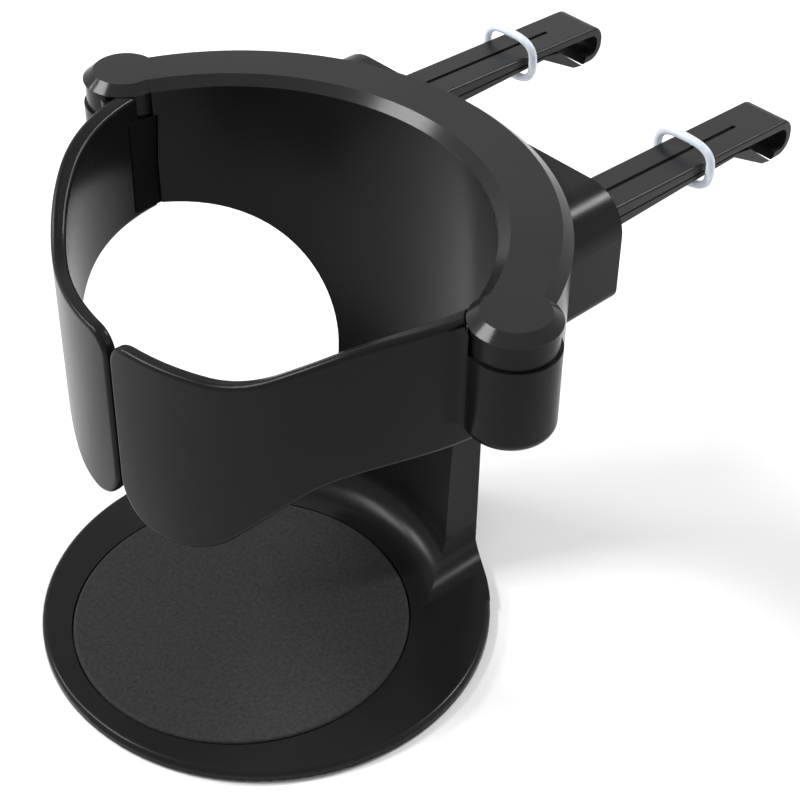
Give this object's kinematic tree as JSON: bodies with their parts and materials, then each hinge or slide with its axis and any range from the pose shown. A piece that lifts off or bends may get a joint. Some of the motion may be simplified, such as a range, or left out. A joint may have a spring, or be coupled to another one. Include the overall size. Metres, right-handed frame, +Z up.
{
  "type": "car water bottle holder",
  "caption": "Air-vent bottle holder: crescent collar with sprung arms, a leg down to a round padded base, and hooked clips behind.",
  "frame": {"origin": "on the underside of the base disc, below the centre of the round pad", "axes": "+Z up, +Y back towards the air vent and along the clips, +X to the holder's right seen from the rear of the car"},
  "size_m": [0.1058, 0.141, 0.0869],
  "materials": {
    "body_black": "satin",
    "collar_black": "satin gloss",
    "arm_black": "satin",
    "pad_rubber": "fine matte grain",
    "clip_grey": "satin",
    "ring_silicone": "translucent",
    "screw_steel": "zinc plated",
    "spring_steel": "bright drawn wire"
  },
  "bodies": {
    "holder": {"holder_body": "body_black", "collar_cap": "collar_black", "base_pad": "pad_rubber", "right_pivot_washer": "screw_steel", "left_pivot_washer": "screw_steel", "pivot_screws": "screw_steel", "clip_screws": "screw_steel", "right_clip": "clip_grey", "left_clip": "clip_grey", "right_clip_clamp": "body_black", "left_clip_clamp": "body_black"},
    "right_arm": {"right_arm": "arm_black", "right_arm_spring": "spring_steel"},
    "left_arm": {"left_arm": "arm_black", "left_arm_spring": "spring_steel"},
    "right_ring": {"right_clip_ring": "ring_silicone"},
    "left_ring": {"left_clip_ring": "ring_silicone"}
  },
  "joints": [
    {"name": "right_arm_hinge", "type": "hinge", "parent": "holder", "child": "right_arm", "pos_m": [0.0457, 0.0163, 0.0731], "axis": [0, 0, 1], "range_deg": [0, 38], "stiffness_Nm_per_rad": 0.02, "springref_deg": -20.05},
    {"name": "left_arm_hinge", "type": "hinge", "parent": "holder", "child": "left_arm", "pos_m": [-0.0457, 0.0163, 0.0731], "axis": [0, 0, -1], "range_deg": [0, 38], "stiffness_Nm_per_rad": 0.02, "springref_deg": -20.05},
    {"name": "right_ring_slide", "type": "slide", "parent": "holder", "child": "right_ring", "axis": [0, 1, 0], "range_m": [-0.02, 0.0055]},
    {"name": "left_ring_slide", "type": "slide", "parent": "holder", "child": "left_ring", "axis": [0, 1, 0], "range_m": [-0.024, 0.0015]}
  ]
}
